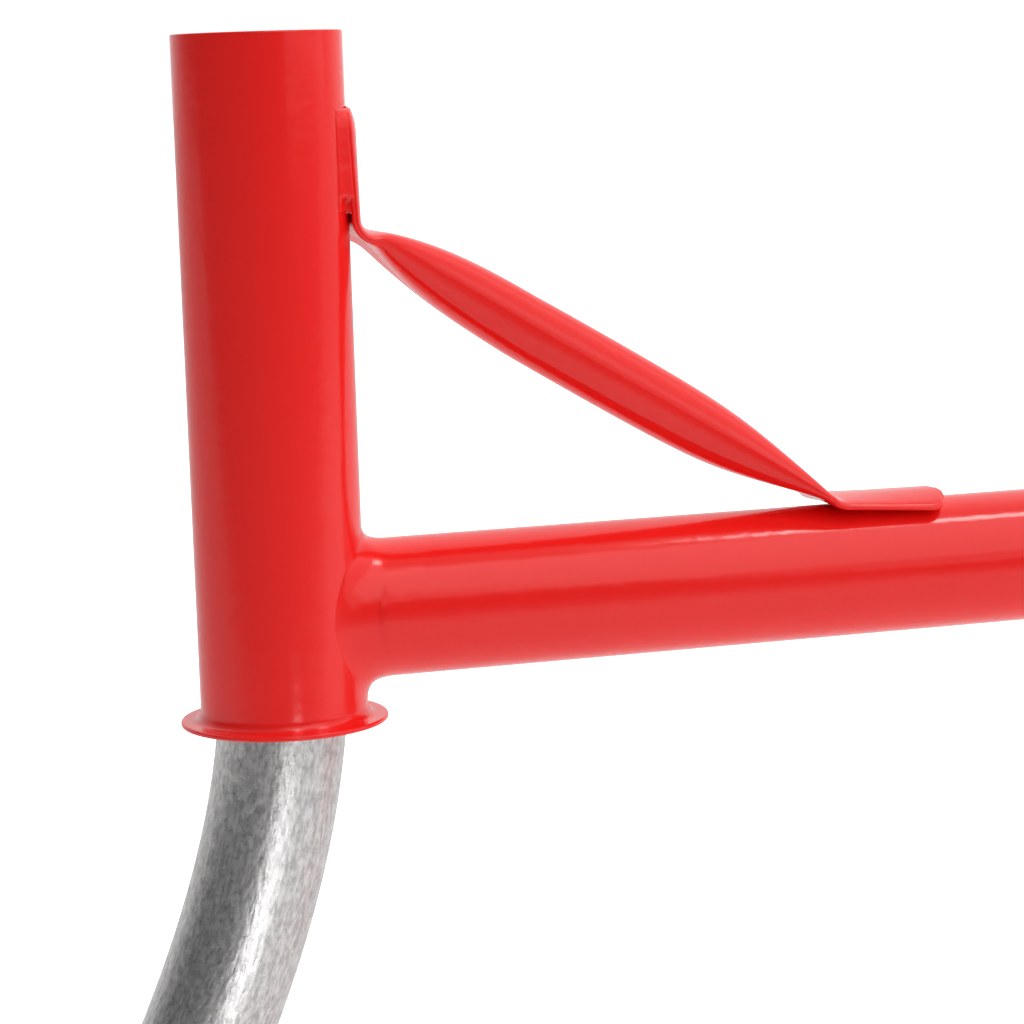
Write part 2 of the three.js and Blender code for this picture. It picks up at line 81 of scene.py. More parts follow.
def make_camera():
    """Low three-quarter view from the chassis's left, close to the head tube."""
    turn, tilt, roll = CAMERA_TURN, CAMERA_TILT, CAMERA_ROLL
    forward = Vector((math.sin(turn) * math.cos(tilt), math.cos(turn) * math.cos(tilt),
                      math.sin(tilt)))
    level = Vector((math.cos(turn), -math.sin(turn), 0))
    upright = level.cross(forward)
    right = level * math.cos(roll) + upright * math.sin(roll)
    up = upright * math.cos(roll) - level * math.sin(roll)
    data = bpy.data.cameras.new("camera")
    data.sensor_width = 36
    data.lens = CAMERA_LENS
    data.clip_start = 0.01
    camera = bpy.data.objects.new("camera", data)
    camera.matrix_world = (Matrix.Translation(to_row(CAMERA_PLACE))
                           @ Matrix((right, up, -forward)).transposed().to_4x4())
    bpy.context.collection.objects.link(camera)
    bpy.context.scene.camera = camera


make_camera()


# ---- Materials

def add_node(tree, kind, inputs=(), **settings):
    """A shader node, each of its inputs either a value or another node's output."""
    made = tree.nodes.new(kind)
    for key, value in settings.items():
        setattr(made, key, value)
    for key, value in dict(inputs).items():
        if isinstance(value, bpy.types.NodeSocket):
            tree.links.new(value, made.inputs[key])
        else:
            made.inputs[key].default_value = value
    return made


class Shader:
    """A node material round one Principled shader, with short calls for the usual nodes."""

    def __init__(self, name, **constants):
        self.material = bpy.data.materials.new(name)
        self.material.use_nodes = True
        self.tree = self.material.node_tree
        self.principled = self.tree.nodes["Principled BSDF"]
        for socket, value in constants.items():
            self.principled.inputs[socket.replace("_", " ")].default_value = value

    def node(self, kind, inputs=(), **settings):
        return add_node(self.tree, kind, inputs, **settings)

    def link(self, output, socket):
        self.tree.links.new(output, self.principled.inputs[socket])

    def place(self):
        return self.node("ShaderNodeTexCoord").outputs["Object"]

    def along(self, across, lengthwise):
        """Coordinates on a tube: how far round it and how far along it, each scaled."""
        mapping = self.node("ShaderNodeMapping",
                            {"Vector": self.node("ShaderNodeUVMap", uv_map="skin").outputs["UV"],
                             "Scale": (across, lengthwise, 1)})
        return mapping.outputs["Vector"]

    def noise(self, vector, scale, detail=2.0, roughness=0.5):
        made = self.node("ShaderNodeTexNoise", {"Vector": vector, "Scale": scale,
                                                "Detail": detail, "Roughness": roughness})
        return made.outputs["Fac"]

    def ramp(self, factor, *stops):
        made = self.node("ShaderNodeValToRGB", {"Fac": factor})
        elements = made.color_ramp.elements
        while len(elements) < len(stops):
            elements.new(0.5)
        for element, (position, colour) in zip(elements, stops):
            element.position = position
            element.color = colour if len(colour) == 4 else (*colour, 1)
        return made.outputs["Color"]

    def grey_ramp(self, factor, *stops):
        return self.ramp(factor, *((position, (level,) * 3) for position, level in stops))

    def blend(self, kind, factor, a, b):
        return self.node("ShaderNodeMix", {0: factor, 6: a, 7: b}, data_type="RGBA",
                         blend_type=kind).outputs[2]

    def range(self, factor, low, high):
        made = self.node("ShaderNodeMapRange", {"Value": factor, "To Min": low, "To Max": high})
        return made.outputs["Result"]

    def bump(self, height, distance, strength=1.0, under=None):
        inputs = {"Height": height, "Distance": distance, "Strength": strength}
        if under is not None:
            inputs["Normal"] = under
        return self.node("ShaderNodeBump", inputs).outputs["Normal"]


def red_paint():
    """Glossy powder coat: orange peel in the surface and a faint drift in the red."""
    s = Shader("red_paint", IOR=1.46)
    place = s.place()
    drift = s.noise(place, 9, 3)
    s.link(s.ramp(drift, (0.3, (0.95, 0.013, 0.011)), (0.7, (0.98, 0.017, 0.014))), "Base Color")
    fine = s.noise(place, 420, 2)
    s.link(s.range(s.noise(place, 60, 3), 0.12, 0.18), "Roughness")
    peel = s.bump(s.noise(place, 130, 2), 0.00035, 0.35)
    s.link(s.bump(fine, 0.0001, 0.25, peel), "Normal")
    return s.material


def bare_steel():
    """Drawn tube: scale in small cells drawn out along the tube, fine streaks, an uneven shine."""
    s = Shader("bare_steel", Metallic=1.0)
    place = s.place()
    streaks = s.noise(s.along(340, 5), 1, 4, 0.6)
    lines = s.noise(s.along(900, 12), 1, 2, 0.5)
    cells = s.noise(s.along(90, 210), 1, 3, 0.55)
    mottle = s.noise(place, 520, 4, 0.65)
    cloud = s.noise(place, 30, 3)
    tone = s.grey_ramp(streaks, (0.25, 0.63), (0.75, 0.82))
    tone = s.blend("MULTIPLY", 0.8, tone, s.ramp(mottle, (0.35, (0.74, 0.73, 0.72)),
                                                 (0.65, (1, 1, 1))))
    tone = s.blend("MULTIPLY", 0.7, tone, s.ramp(cells, (0.40, (0.60, 0.60, 0.61)),
                                                 (0.58, (1, 1, 1))))
    tone = s.blend("MULTIPLY", 0.5, tone, s.ramp(cloud, (0.3, (0.90, 0.88, 0.86)),
                                                 (0.7, (1, 1, 1))))
    s.link(tone, "Base Color")
    s.link(s.range(mottle, 0.20, 0.38), "Roughness")
    pebbled = s.bump(cells, 0.0004, 0.45)
    grained = s.bump(mottle, 0.00015, 0.2, pebbled)
    s.link(s.bump(lines, 0.00012, 0.3, grained), "Normal")
    return s.material


def zinc_steel():
    """Bright zinc plate with a faint crystal mottling."""
    s = Shader("zinc_steel", Metallic=1.0)
    place = s.place()
    mottle = s.noise(place, 300, 3)
    s.link(s.ramp(mottle, (0.3, (0.60, 0.61, 0.64)), (0.7, (0.74, 0.75, 0.78))), "Base Color")
    s.link(s.range(s.noise(place, 90, 3), 0.22, 0.36), "Roughness")
    s.link(s.bump(s.noise(place, 700, 2), 0.0001, 0.3), "Normal")
    return s.material


def black_steel():
    """Black oxide, slightly worn to grey."""
    s = Shader("black_steel", Metallic=0.8)
    place = s.place()
    wear = s.noise(place, 250, 4)
    s.link(s.ramp(wear, (0.4, (0.022, 0.022, 0.025)), (0.75, (0.07, 0.07, 0.075))), "Base Color")
    s.link(s.range(wear, 0.32, 0.5), "Roughness")
    s.link(s.bump(wear, 0.0001, 0.3), "Normal")
    return s.material


def polymer():
    """Moulded black polymer with a spark-eroded grain."""
    s = Shader("polymer")
    place = s.place()
    grain = s.noise(place, 900, 3)
    s.link(s.ramp(grain, (0.3, (0.012, 0.012, 0.013)), (0.7, (0.028, 0.028, 0.03))), "Base Color")
    s.link(s.range(s.noise(place, 70, 2), 0.48, 0.62), "Roughness")
    s.link(s.bump(grain, 0.0001, 0.4), "Normal")
    return s.material


MATERIALS = {make.__name__: make() for make in
             (red_paint, bare_steel, zinc_steel, black_steel, polymer)}


# ---- Mesh code

def spoke(centre, across, up, turn, reach):
    """The point at an angle and a distance from a centre."""
    return centre + across * (reach * math.cos(turn)) + up * (reach * math.sin(turn))


def oval(centre, across, up, count, half_width, half_height=None):
    """A closed loop of points round a centre: an oval by its two half sizes, or a circle."""
    half_height = half_width if half_height is None else half_height
    centre = Vector(centre)
    turns = [2 * math.pi * i / count for i in range(count)]
    return [centre + across * (half_width * math.cos(turn)) + up * (half_height * math.sin(turn))
            for turn in turns]


def make_object(name, mesh, body, slot, nodes, flats):
    for polygon in mesh.polygons:
        polygon.use_smooth = True
    piece = bpy.data.objects.new(name, mesh)
    bpy.context.collection.objects.link(piece)
    mesh.materials.append(MATERIALS[slot])
    if flats:
        mesh.set_sharp_from_angle(angle=math.radians(50))
        weighted = piece.modifiers.new("flats", "WEIGHTED_NORMAL")
        weighted.keep_sharp = True
    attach(piece, body)
    if nodes:
        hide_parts(*nodes)
    return piece


def skin_mesh(name, rows, closed=True):
    """A surface through rows of points, each row a closed loop. A closed skin runs from its last
    row back to its first; an open one is capped at both ends."""
    count = len(rows[0])
    points = [to_row(point) for row in rows for point in row]
    faces, corners = [], []
    lengths = [0.0]
    for before, after in zip(rows, rows[1:] + rows[:1]):
        lengths.append(lengths[-1] + (Vector(before[0]) - Vector(after[0])).length * MM)
    for r in range(len(rows) if closed else len(rows) - 1):
        s = (r + 1) % len(rows)
        for i in range(count):
            j = (i + 1) % count
            faces.append((r * count + i, r * count + j, s * count + j, s * count + i))
            u, v = i / count, (i + 1) / count
            corners.append(((u, lengths[r]), (v, lengths[r]),
                            (v, lengths[r + 1]), (u, lengths[r + 1])))
    if not closed:
        for first in (0, (len(rows) - 1) * count):
            loop = list(range(first, first + count))
            faces.append(tuple(reversed(loop)) if first == 0 else tuple(loop))
            corners.append(tuple((0.5, 0.0) for _ in loop))
    mesh = bpy.data.meshes.new(name)
    mesh.from_pydata(points, [], faces)
    layer = mesh.uv_layers.new(name="skin")
    flat = [value for face in corners for corner in face for value in corner]
    layer.data.foreach_set("uv", flat)
    outward(mesh)
    return mesh


def skin(name, rows, body, slot, nodes=(), closed=True, flats=False):
    return make_object(name, skin_mesh(name, rows, closed), body, slot, nodes, flats)


def carve(piece, rows):
    """Cuts a capped solid through rows of points out of a piece."""
    tool = bpy.data.objects.new("tool", skin_mesh("tool", rows, closed=False))
    bpy.context.collection.objects.link(tool)
    weighted = piece.modifiers.get("flats")
    weighted.show_viewport = False
    cut = piece.modifiers.new("cut", "BOOLEAN")
    cut.object = tool
    cut.solver = "EXACT"
    bpy.context.view_layer.update()
    evaluated = piece.evaluated_get(bpy.context.evaluated_depsgraph_get())
    carved = bpy.data.meshes.new_from_object(evaluated)
    carved.name = piece.name
    piece.modifiers.remove(cut)
    bpy.data.objects.remove(tool)
    piece.data = carved
    carved.set_sharp_from_angle(angle=math.radians(50))
    weighted.show_viewport = True


def outward(mesh):
    """Turns the faces of a closed mesh outward."""
    work = bmesh.new()
    work.from_mesh(mesh)
    bmesh.ops.recalc_face_normals(work, faces=work.faces)
    work.to_mesh(mesh)
    work.free()


def rounded(corners, steps=4):
    """A path through [x, y, radius] corners, each turned into an arc of that radius. The path is
    closed, and a corner of radius 0 stays sharp."""
    path = []
    count = len(corners)
    for i, (x, y, radius) in enumerate(corners):
        here = Vector((x, y))
        if radius == 0:
            path.append(here)
            continue
        to_last = (Vector(corners[i - 1][:2]) - here)
        to_next = (Vector(corners[(i + 1) % count][:2]) - here)
        reach_last, reach_next = to_last.length, to_next.length
        to_last.normalize()
        to_next.normalize()
        half = to_last.angle(to_next) / 2
        reach = min(radius / math.tan(half), 0.49 * reach_last, 0.49 * reach_next)
        start, end = here + to_last * reach, here + to_next * reach
        for k in range(steps + 1):
            t = k / steps
            path.append(start * (1 - t) ** 2 + here * (2 * t * (1 - t)) + end * t ** 2)
    return path


def frame_of(axis):
    """Two directions at right angles to an axis and to each other."""
    axis = Vector(axis).normalized()
    across = X if abs(axis.x) < 0.9 else Y
    across = (across - axis * across.dot(axis)).normalized()
    return across, axis.cross(across)


def turned(name, corners, origin, axis, body, slot, nodes=(), count=96, steps=4):
    """A turned part: [radius, height, rounding] corners swung round an axis. The outline is
    closed, and a part that is solid to the middle has corners at radius 0."""
    across, up = frame_of(axis)
    axis = Vector(axis).normalized()
    rows = []
    for radius, height in rounded(corners, steps):
        centre = Vector(origin) + axis * height
        rows.append(oval(centre, across, up, count, max(radius, 0.02)))
    solid = min(corner[0] for corner in corners) == 0
    return skin(name, rows, body, slot, nodes, closed=not solid, flats=True)


def heading(angle):
    """A direction in the XZ plane at an angle above the +X axis, in radians."""
    return Vector((math.cos(angle), 0, math.sin(angle)))


def arc_stations(start, angle_from, angle_to, radius, steps):
    """Stations along an arc in the XZ plane."""
    turn = math.copysign(1, angle_to - angle_from)
    centre = start + turn * radius * Vector((-math.sin(angle_from), 0, math.cos(angle_from)))
    stations = []
    for i in range(steps + 1):
        angle = angle_from + (angle_to - angle_from) * i / steps
        place = centre - turn * radius * Vector((-math.sin(angle), 0, math.cos(angle)))
        stations.append((place, heading(angle)))
    return stations


def straight_stations(start, end, step):
    """Evenly spaced stations from start to end, leaving out the last one."""
    run = end - start
    count = max(1, round(run.length / step))
    return [(start + run * (i / count), run.normalized()) for i in range(count)]


def flat_piece(name, outline, holes, thickness, origin, across, up, body, slot, nodes=(),
               edge=0.5):
    """A plate with softened edges: a closed outline and round holes (x, y, radius) in the plane
    of the across and up directions, thick along across x up from the origin."""
    curve = bpy.data.curves.new(name, "CURVE")
    curve.dimensions = "2D"
    curve.fill_mode = "BOTH"
    curve.extrude = (thickness / 2 - edge) * MM
    curve.bevel_depth = edge * MM
    curve.bevel_resolution = 3
    curve.offset = -edge * MM
    loops = [outline]
    for x, y, radius in holes:
        loops.append([(x + radius * math.cos(2 * math.pi * i / 48),
                       y + radius * math.sin(2 * math.pi * i / 48)) for i in range(48)])
    for loop in loops:
        spline = curve.splines.new("POLY")
        spline.points.add(len(loop) - 1)
        for point, (x, y) in zip(spline.points, loop):
            point.co = (x * MM, y * MM, 0, 1)
        spline.use_cyclic_u = True
    holder = bpy.data.objects.new(name, curve)
    bpy.context.collection.objects.link(holder)
    bpy.context.view_layer.update()
    evaluated = holder.evaluated_get(bpy.context.evaluated_depsgraph_get())
    mesh = bpy.data.meshes.new_from_object(evaluated)
    bpy.data.objects.remove(holder)
    bpy.data.curves.remove(curve)
    across, up = Vector(across), Vector(up)
    through = across.cross(up)
    basis = Matrix((across, up, through)).transposed().to_4x4()
    mesh.transform(Matrix.Translation(to_row(Vector(origin) + through * (thickness / 2))) @ basis)
    mesh.materials.clear()
    merge(mesh)
    mesh.uv_layers.new(name="skin")
    return make_object(name, mesh, body, slot, nodes, flats=True)


def merge(mesh):
    """Joins the vertices that a converted curve leaves doubled, and turns the faces outward."""
    work = bmesh.new()
    work.from_mesh(mesh)
    bmesh.ops.remove_doubles(work, verts=work.verts, dist=1e-6)
    bmesh.ops.recalc_face_normals(work, faces=work.faces)
    work.to_mesh(mesh)
    work.free()


def bead(name, path, radius, body, slot, ripple=0.0, pitch=3.2, seed=1, closed=True, nodes=()):
    """A weld bead along (centre, outward, sideways) stations, rippled as the puddle froze."""
    rows = []
    travelled = 0.0
    count = 20
    for i, (centre, outward_dir, sideways) in enumerate(path):
        if i:
            travelled += (centre - path[i - 1][0]).length
        wave = math.sin(2 * math.pi * travelled / pitch)
        wobble = noise.noise(Vector((travelled * 0.25, seed * 7.3, 0)))
        swell = radius * (1 + ripple * wave + 0.6 * ripple * wobble)
        taper = 1.0
        if not closed:
            ends = min(i, len(path) - 1 - i) / 3
            taper = min(1.0, math.sqrt(max(ends, 0.02)))
        rows.append(oval(centre, outward_dir, sideways, count, swell * taper))
    return skin(name, rows, body, slot, nodes, closed=closed)


# ---- Driving places, read from the frame

HEAD_R = 25.4
HEAD_WALL = 2.0
HEAD_TOP = cad("head_tube")[1].z
LIP_R = cad("head_tube")[1].x
LIP_THICK = 1.5

MAIN_R = cad("main_tube")[1].y
MAIN_WALL = 2.5
MAIN_Z = cad("main_tube")[1].z - MAIN_R
DROP_START = 290
DROP_ANGLE = math.radians(35)
DROP_BEND_R = 130

CROSS_LOW, CROSS_HIGH = cad("rear_cross_tube")
CROSS_X = (CROSS_LOW.x + CROSS_HIGH.x) / 2
CROSS_Z = (CROSS_LOW.z + CROSS_HIGH.z) / 2
CROSS_HALF = CROSS_HIGH.y

STEM_R = 19.9
STEM_WALL = 2.0
STEM_TOP = cad("steering_stem")[1].z
STEM_BEND_Z = 19.1
STEM_BEND_LIMIT = 0.67
STEM_BEND_LENGTH = 119.2
STEM_FLATTENED = 0.35

BEAM_LOW, BEAM_HIGH = cad("front_beam")
BEAM_X = (BEAM_LOW.x + BEAM_HIGH.x) / 2
AXLE_Z = (BEAM_LOW.z + BEAM_HIGH.z) / 2
BEAM_HALF = BEAM_HIGH.y
BEAM_CENTRE = Vector((BEAM_X, 0, AXLE_Z))


# ---- Head tube and backbone

def make_head_tube():
    bore = HEAD_R - HEAD_WALL
    turned("head_tube_skin", [
        (bore, HEAD_TOP, 0.5), (bore, 0, 4.6), (LIP_R, 0, 0.7), (LIP_R, LIP_THICK, 0.7),
        (HEAD_R, LIP_THICK, 4.4), (HEAD_R, HEAD_TOP, 0.6),
    ], (0, 0, 0), Z, "frame", "red_paint", ["head_tube"], count=192, steps=10)


def backbone_stations():
    start = Vector((DROP_START, 0, MAIN_Z))
    down = arc_stations(start, 0, -DROP_ANGLE, DROP_BEND_R, 16)
    fall = DROP_BEND_R * (1 - math.cos(DROP_ANGLE))
    slope = (MAIN_Z - CROSS_Z - 2 * fall) / math.sin(DROP_ANGLE)
    level_from = down[-1][0] + heading(-DROP_ANGLE) * slope
    up = arc_stations(level_from, -DROP_ANGLE, 0, DROP_BEND_R, 16)
    front = Vector((HEAD_R + 4, 0, MAIN_Z))
    rear = Vector((CROSS_X - MAIN_R - 4, 0, CROSS_Z))
    return (straight_stations(front, start, 20) + down[:-1]
            + straight_stations(down[-1][0], level_from, 20) + up[:-1]
            + straight_stations(up[-1][0], rear, 20) + [(rear, X)])


def coped_to_head(row):
    """A row of points slid along X until it sinks into the head tube's wall."""
    depth = HEAD_R - 0.6
    return [Vector((math.sqrt(depth ** 2 - p.y ** 2), p.y, p.z)) for p in row]


def coped_to_cross(row):
    depth = MAIN_R - 0.6
    reach = [max(depth ** 2 - (p.z - CROSS_Z) ** 2, 0) for p in row]
    return [Vector((CROSS_X - math.sqrt(r), p.y, p.z)) for p, r in zip(row, reach)]


def make_main_tube():
    count = 128
    stations = backbone_stations()

    def rows(radius):
        return [oval(place, Y, along.cross(Y), count, radius) for place, along in stations]

    outer, inner = rows(MAIN_R), rows(MAIN_R - MAIN_WALL)
    loop = [coped_to_head(outer[0])] + outer + [coped_to_cross(outer[-1])]
    loop += [coped_to_cross(inner[-1])] + inner[::-1] + [coped_to_head(inner[0])]
    skin("main_tube_skin", loop, "frame", "red_paint", ["main_tube"])


def saddle_fillet(name, host_r, branch_r, place, legs, body, slot, nodes, seed, rough=0.2):
    """The concave weld round a branch tube's joint with its host tube. In its own axes the branch
    runs along +X and the host along Z; place() turns those into the chassis's."""
    count, steps, pull = 200, 16, 0.78
    rows = []
    for i in range(count):
        turn = 2 * math.pi * i / count
        side, top = math.sin(turn), math.cos(turn)
        leg_branch, leg_host = legs(abs(side))
        radial = Vector((0, side, top))

        def on_branch(leg, depth=0.0):
            start = radial * (branch_r - depth)
            corner_x = math.sqrt(host_r ** 2 - (branch_r * side) ** 2)
            return start + X * (corner_x + leg)

        def on_host(leg, depth=0.0):
            bend = math.asin(branch_r * side / host_r) + leg * side / host_r
            reach = host_r - depth
            return Vector((reach * math.cos(bend), reach * math.sin(bend),
                           (branch_r + leg) * top))

        start, corner, end = on_branch(leg_branch, 0.01), on_branch(0), on_host(leg_host, 0.02)
        outward = X * 0.7 + radial * 0.7
        row = [on_branch(0, 2.5), on_branch(leg_branch + 4, 1.2),
               on_branch(leg_branch + 2, 0.08)]
        for k in range(steps + 1):
            t = k / steps
            point = (start * (1 - t) ** 3 + start.lerp(corner, pull) * (3 * t * (1 - t) ** 2)
                     + end.lerp(corner, pull) * (3 * t ** 2 * (1 - t)) + end * t ** 3)
            grain = noise.noise(Vector((i * 0.11, t * 1.2, seed)))
            row.append(point + outward * ((4 * t * (1 - t)) ** 2 * rough * grain))
        row += [on_host(leg_host + 1.5, 0.08), on_host(leg_host + 3, 1.2), on_host(0, 2.5)]
        rows.append([place(point) for point in row])
    skin(name, rows, body, slot, nodes)


def make_head_fillet():
    saddle_fillet("head_fillet", HEAD_R, MAIN_R, lambda p: p + Vector((0, 0, MAIN_Z)),
                  lambda side: (9.6 + 2.6 * side ** 2, 7.6 + 0.6 * side ** 2),
                  "frame", "red_paint", ["head_weld"], seed=1)


# ---- Brace

BRACE_R = 10.4
BRACE_HALF_GIRTH = 32.67
BRACE_FOLD = 0.571  # of its thickness that a folded edge takes from the width
PAD_HALF_WIDTH = 15.4
PAD_THICK = 3.2
FLAT_THICK = 3.0
BRACE_LOW, BRACE_HIGH = cad("brace")
PAD_SUNK = 0.5
PAD_X = BRACE_LOW.x + PAD_THICK / 2 - PAD_SUNK
PAD_TOP = BRACE_HIGH.z
FOOT_Z = BRACE_LOW.z + PAD_THICK / 2
TOE_X = BRACE_HIGH.x
BRACE_FALL = 0.608
BRACE_LINE_Z = 163.94  # where the brace's own axis would meet the head tube's
BRACE_LEAN = -math.atan(BRACE_FALL)
PAD_BEND = Vector((PAD_X, 0, BRACE_LINE_Z - BRACE_FALL * PAD_X))
FLAT_RISE = 0.9
FOOT_BEND = Vector((PAD_X + (PAD_BEND.z - FOOT_Z) / BRACE_FALL, 0, FOOT_Z))


def roundness(from_top, from_foot):
    """How far the crushed tube has opened out, 0 flat to 1 round, by distance from each bend."""
    upper = 1 - math.exp(-max(0.0, from_top - 4) / 16.5)
    lower = 1 - math.exp(-(max(0.0, from_foot - 5) / 22) ** 1.3)
    return min(1.0, upper * lower)


def tip_half_width(half_width, distance):
    """The half width near a pad's rounded tip, by distance from the tip."""
    corner_long, corner_wide = 6.0, 9.0
    if distance >= corner_long:
        return half_width
    left = 1 - distance / corner_long
    return half_width - corner_wide * (1 - math.sqrt(max(0.0, 1 - left * left)))


def pad_hug(z, rise=PAD_TOP - PAD_BEND.z):
    """How far the pad's edges bend round the head tube: most at its top."""
    return 2.3 + 1.4 * min(1.0, (z - PAD_BEND.z) / rise)


def brace_section(centre, along, opened, count, tip=None, squeeze=1.0, saddle=0.0, seam=0.0):
    """A loop round the crushed tube: a fold at each side that opens into a circle, with a shallow
    groove down the folded edges where the two walls meet. The saddle bends both edges down."""
    thick = FLAT_THICK + (2 * BRACE_R - FLAT_THICK) * opened
    width = BRACE_HALF_GIRTH - BRACE_FOLD * thick
    half_width = width / 2 if tip is None else tip_half_width(width / 2, tip)
    half_thick = thick / 2 * squeeze
    flat = half_width - half_thick
    soft = 0.30 + 0.5 * opened
    up = along.cross(Y)
    loop = []
    for i in range(count):
        turn = 2 * math.pi * i / count
        c, s = math.cos(turn), math.sin(turn)
        lean = c / math.sqrt(c * c + soft * soft) * math.sqrt(1 + soft * soft)
        groove = seam * math.exp(-(s / 0.30) ** 2) * math.copysign(1, c)
        dish = 0.35 * (1 - opened) ** 2 * opened * 4
        across = flat * lean + (half_thick * c) - groove
        height = half_thick * s * (1 - dish * (1 - abs(lean)))
        height -= saddle * (across / PAD_HALF_WIDTH) ** 2
        loop.append(centre + Y * across + up * height)
    return loop


def make_brace():
    count = 96
    down = -math.pi / 2
    bend_r = 5.0
    top_reach = bend_r * math.tan((BRACE_LEAN - down) / 2)
    foot_bend_r = 7.0
    foot_reach = foot_bend_r * math.tan(-BRACE_LEAN / 2)
    slant = (FOOT_BEND - PAD_BEND).length
    rows = []

    def add(place, along, opened=0.0, **shape):
        rows.append(brace_section(place, along, opened, count, **shape))

    def sag(place):
        """How far the foot's edges bend down over the backbone: most at its toe."""
        return 0.9 + 3.0 * min(1.0, max(0.0, (place.x - FOOT_BEND.x) / (TOE_X - FOOT_BEND.x)))

    pad_seam = 0.5

    back = PAD_X - PAD_THICK / 2
    for i in range(25):
        tip = 9 * (i / 24) ** 1.5
        full = min(1.0, tip / 7.5)
        squeeze = math.sqrt(max(0.02, 1 - (1 - full) ** 2))
        place = Vector((back + FLAT_THICK / 2 * squeeze, 0, PAD_TOP + 0.6 - tip))
        add(place, -Z, tip=tip, squeeze=squeeze, saddle=pad_hug(place.z), seam=pad_seam * full)
    pad_foot = PAD_BEND.z + FLAT_RISE + top_reach
    for place, along in straight_stations(Vector((back + FLAT_THICK / 2, 0, PAD_TOP - 9)),
                                          Vector((PAD_X, 0, pad_foot)), 3):
        add(place, along, saddle=pad_hug(place.z), seam=pad_seam)
    for place, along in arc_stations(Vector((PAD_X, 0, pad_foot)), down, BRACE_LEAN, bend_r, 10):
        add(place, along, saddle=pad_hug(place.z), seam=pad_seam)
    steps = 110
    lean = heading(BRACE_LEAN)
    for i in range(1, steps):
        distance = top_reach + (slant - top_reach - foot_reach) * i / steps
        past = distance - top_reach
        rise = Z * (FLAT_RISE * max(0.0, 1 - (past / 58) ** 2))
        fade = math.exp(-(past / 4) ** 2)
        add(PAD_BEND + rise + lean * distance, lean, roundness(distance, slant - distance),
            saddle=2.3 * fade + 0.6 * math.exp(-((slant - distance) / 9) ** 2),
            seam=pad_seam * math.exp(-past / 12))
    foot_start = FOOT_BEND - lean * foot_reach
    for place, along in arc_stations(foot_start, BRACE_LEAN, 0, foot_bend_r, 8):
        add(place, along, saddle=sag(place))
    for place, along in straight_stations(Vector((FOOT_BEND.x + foot_reach + 2, 0, FOOT_Z)),
                                          Vector((TOE_X - 8.5, 0, FOOT_Z)), 3):
        add(place, along, saddle=sag(place))
    for i in range(16, 0, -1):
        place = Vector((TOE_X - i * 0.5, 0, FOOT_Z))
        add(place, X, tip=i * 0.5, saddle=sag(place))
    for tip, squeeze in ((0.4, 0.88), (0.12, 0.62), (0.0, 0.25)):
        place = Vector((TOE_X - tip, 0, FOOT_Z))
        add(place, X, tip=tip, squeeze=squeeze, saddle=sag(place))
    skin("brace_skin", rows, "frame", "red_paint", ["brace"], closed=False)


def make_pad_welds():
    """The smooth fills down both edges of the upper pad, from the head tube's wall to the edge."""
    low_z, high_z, rise, toe_turn = PAD_BEND.z + 5.5, PAD_TOP, 37, 41.5
    step_z = cad("brace_pad_weld_left")[0].z + 0.3
    for name, side in SIDES:
        rows = []
        steps = 72
        for i in range(steps + 1):
            t = i / steps
            z = low_z + (high_z - low_z) * t
            swell = min(1.0, t * 30 + 0.4, (1 - t) * 30 + 0.8) ** 0.5
            grain = 0.15 * noise.noise(Vector((z * 0.3, side, 3)))
            from_tip = max(0.0, PAD_TOP - z)
            half = tip_half_width(PAD_HALF_WIDTH, min(7.0, from_tip + 0.3))
            saddle = pad_hug(z, rise) * (half / PAD_HALF_WIDTH) ** 2
            edge = Vector((PAD_X + 0.2 - saddle, side * (half - 0.2), 0))
            turn = math.radians(toe_turn + grain)
            inside = HEAD_R - 1.0
            toe = Vector((HEAD_R * math.cos(turn), side * HEAD_R * math.sin(turn), 0))
            under_toe = toe * (inside / HEAD_R)
            root = Vector((PAD_X - 3.4, side * (half - 5.5), 0))
            sunk = 1 - min(1.0, max(0.0, (z - step_z) / 2.5))
            crown = (toe + edge) / 2 + Vector((-0.25, -side * 0.15, 0)) * (1 - grain)
            crown = crown.lerp(root, 0.38 * sunk * sunk * (3 - 2 * sunk))
            corners = [under_toe, toe, toe.lerp(crown, 0.33), toe.lerp(crown, 0.67), crown,
                       crown.lerp(edge, 0.33), crown.lerp(edge, 0.67), edge,
                       edge.lerp(root, 0.5), root]
            rows.append([root + (p - root) * swell + Z * z for p in corners])
        skin("brace_pad_fillet_" + name, rows, "frame", "red_paint",
             ["brace_pad_weld_" + name], closed=False)


def make_toe_weld():
    low, high = cad("brace_toe_weld")
    middle = Vector(((low.x + high.x) / 2 - 0.9, 0, low.z + 0.9))
    path = []
    steps = 26
    for i in range(steps + 1):
        y = low.y + (high.y - low.y) * i / steps
        path.append((middle + Y * y - Z * (y * y * 0.022) - X * (y * y * 0.03), Z, X))
    bead("brace_toe_fillet", path, 1.7, "frame", "red_paint", ripple=0.05, closed=False, seed=4,
         nodes=["brace_toe_weld"])


# ---- Rear end of the frame

AXLE_R = 12.5
AXLE_BORE_R = 8.5
REAR_X = REAR_AXLE.x
REAR_Z = REAR_AXLE.z


def line_bead(name, start, end, lean, radius, body, slot, seed):
    """A short straight weld bead in an inside corner that opens towards lean."""
    start, end, lean = Vector(start), Vector(end), Vector(lean).normalized()
    run = (end - start).normalized()
    steps = max(8, round((end - start).length / 0.8))
    path = [(start.lerp(end, i / steps), lean, run.cross(lean)) for i in range(steps + 1)]
    bead(name, path, radius, body, slot, ripple=0.10, pitch=2.6, closed=False, seed=seed)


